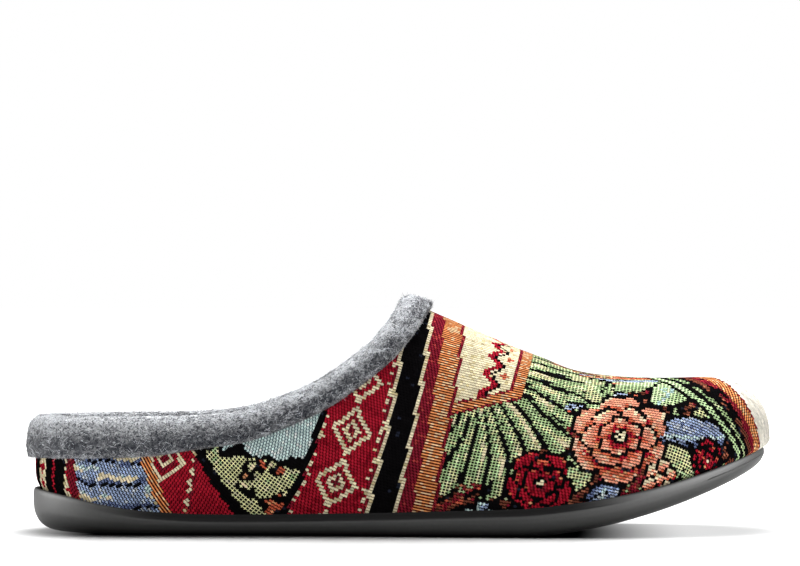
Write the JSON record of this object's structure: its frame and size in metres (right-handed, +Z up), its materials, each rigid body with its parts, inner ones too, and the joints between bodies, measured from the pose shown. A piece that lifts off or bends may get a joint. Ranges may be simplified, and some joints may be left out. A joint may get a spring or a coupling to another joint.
{
  "type": "house slipper",
  "caption": "Right-foot low-backed house slipper: hollow woven upper with a folded felt collar on a moulded rubber cup sole with toe spring.",
  "frame": {"origin": "on the ground under the middle of the slipper's bounding box", "axes": "+X from heel to toe, +Y to the inner (big toe) side, +Z up"},
  "size_m": [0.2699, 0.0974, 0.0861],
  "materials": {
    "sole": "semi-matt moulded rubber",
    "upper": "jacquard tapestry weave",
    "collar": "grey melange wool felt",
    "insole": "grey felt over foam"
  },
  "bodies": {
    "root": {"sole": "sole", "upper": "upper", "collar": "collar", "insole": "insole"}
  },
  "joints": []
}
